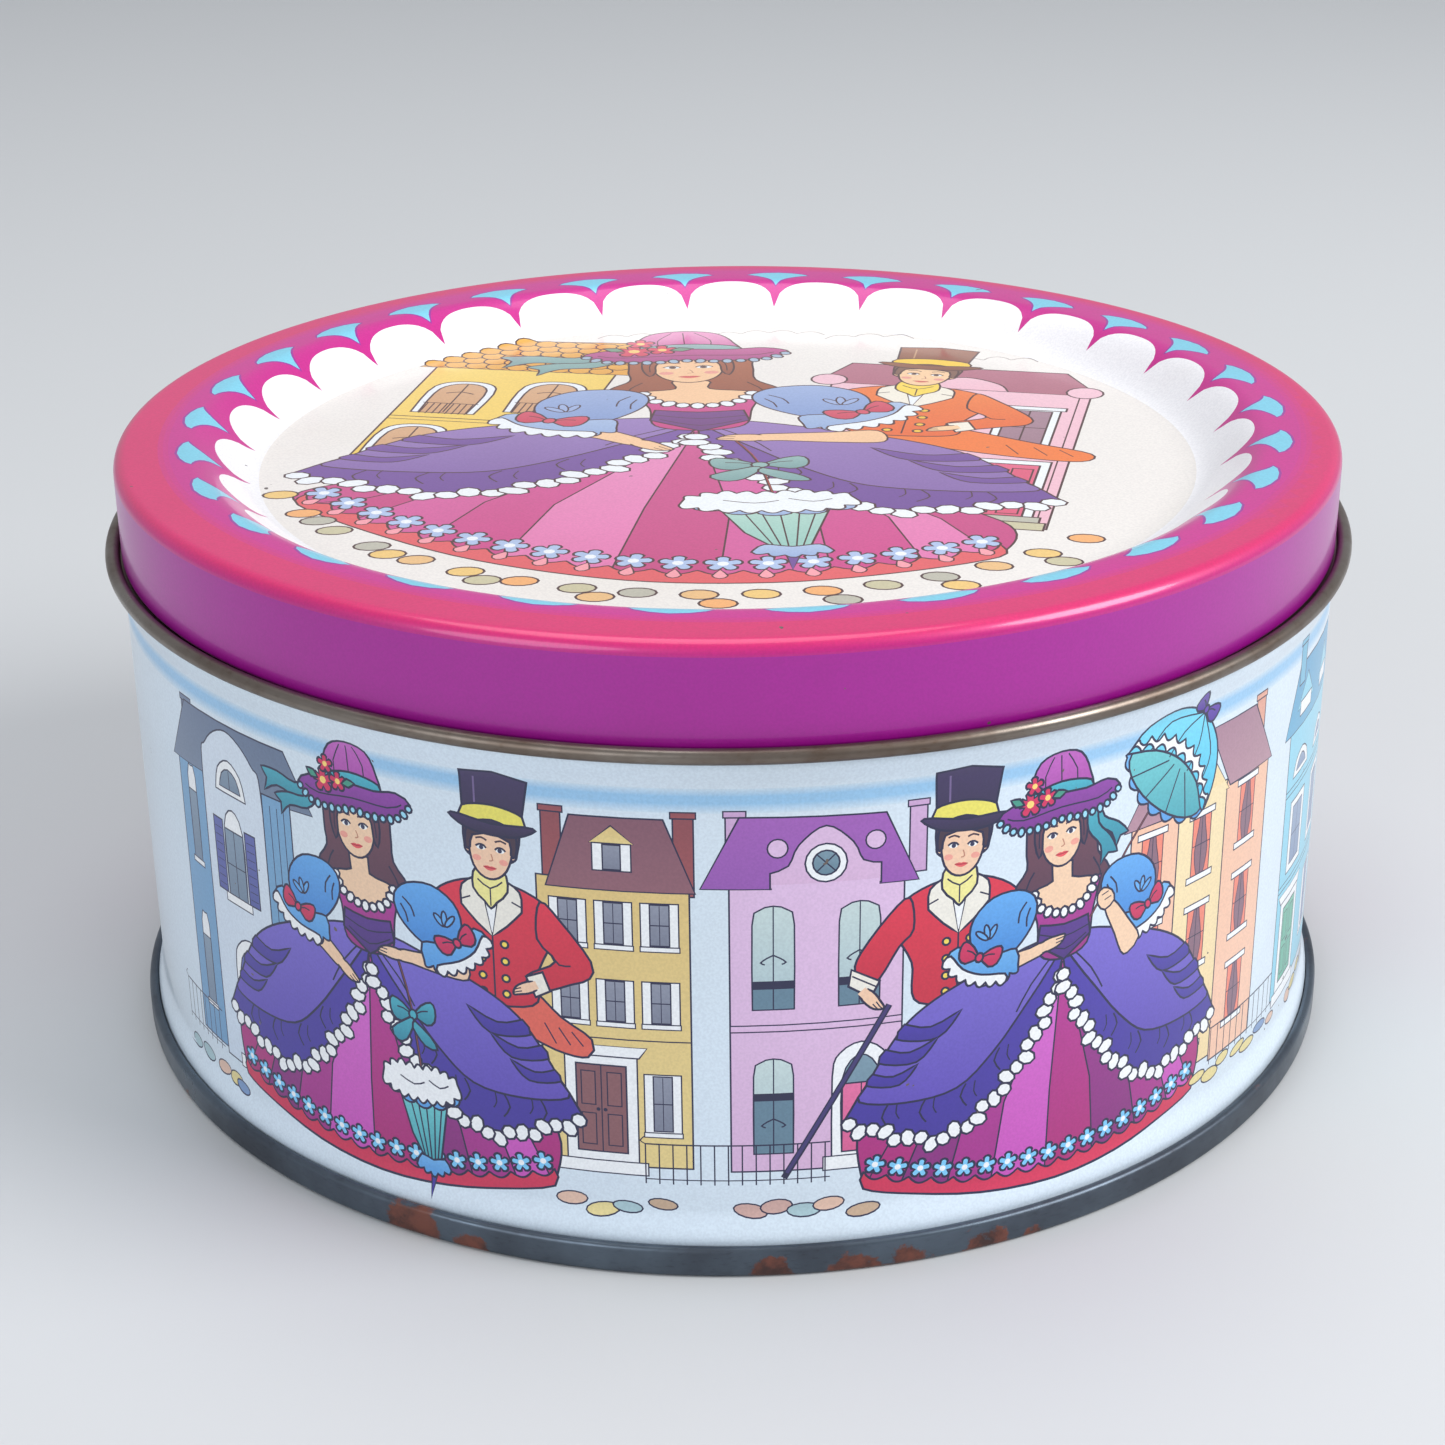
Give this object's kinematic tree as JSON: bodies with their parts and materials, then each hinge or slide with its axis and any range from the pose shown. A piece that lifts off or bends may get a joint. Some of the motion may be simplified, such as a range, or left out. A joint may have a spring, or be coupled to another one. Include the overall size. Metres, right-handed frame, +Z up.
{
  "type": "round decorated tin with slip lid",
  "caption": "Round pressed tinplate box with a raised printed slip lid over an inner neck, a beaded top edge, a lock-seamed wall and a double-seamed base.",
  "frame": {"origin": "centre of the tin on the surface that it stands on", "axes": "+Z up along the axis of the tin, -Y towards the front of the printed scene"},
  "size_m": [0.1954, 0.1954, 0.094],
  "materials": {
    "lid_print": "glossy varnish over lithographed print",
    "wall_print": "glossy varnish over lithographed print",
    "bare_tinplate": "bare tinplate with an aged lacquer",
    "dark_tinplate": "dark lacquered tinplate with rust at the foot"
  },
  "bodies": {
    "tin": {"body_wall": "wall_print", "neck_ring": "bare_tinplate", "base": "dark_tinplate"},
    "lid": {"lid": "lid_print"}
  },
  "joints": [
    {"name": "lid_lift", "type": "slide", "parent": "tin", "child": "lid", "axis": [0, 0, 1], "range_m": [0, 0.12]}
  ]
}
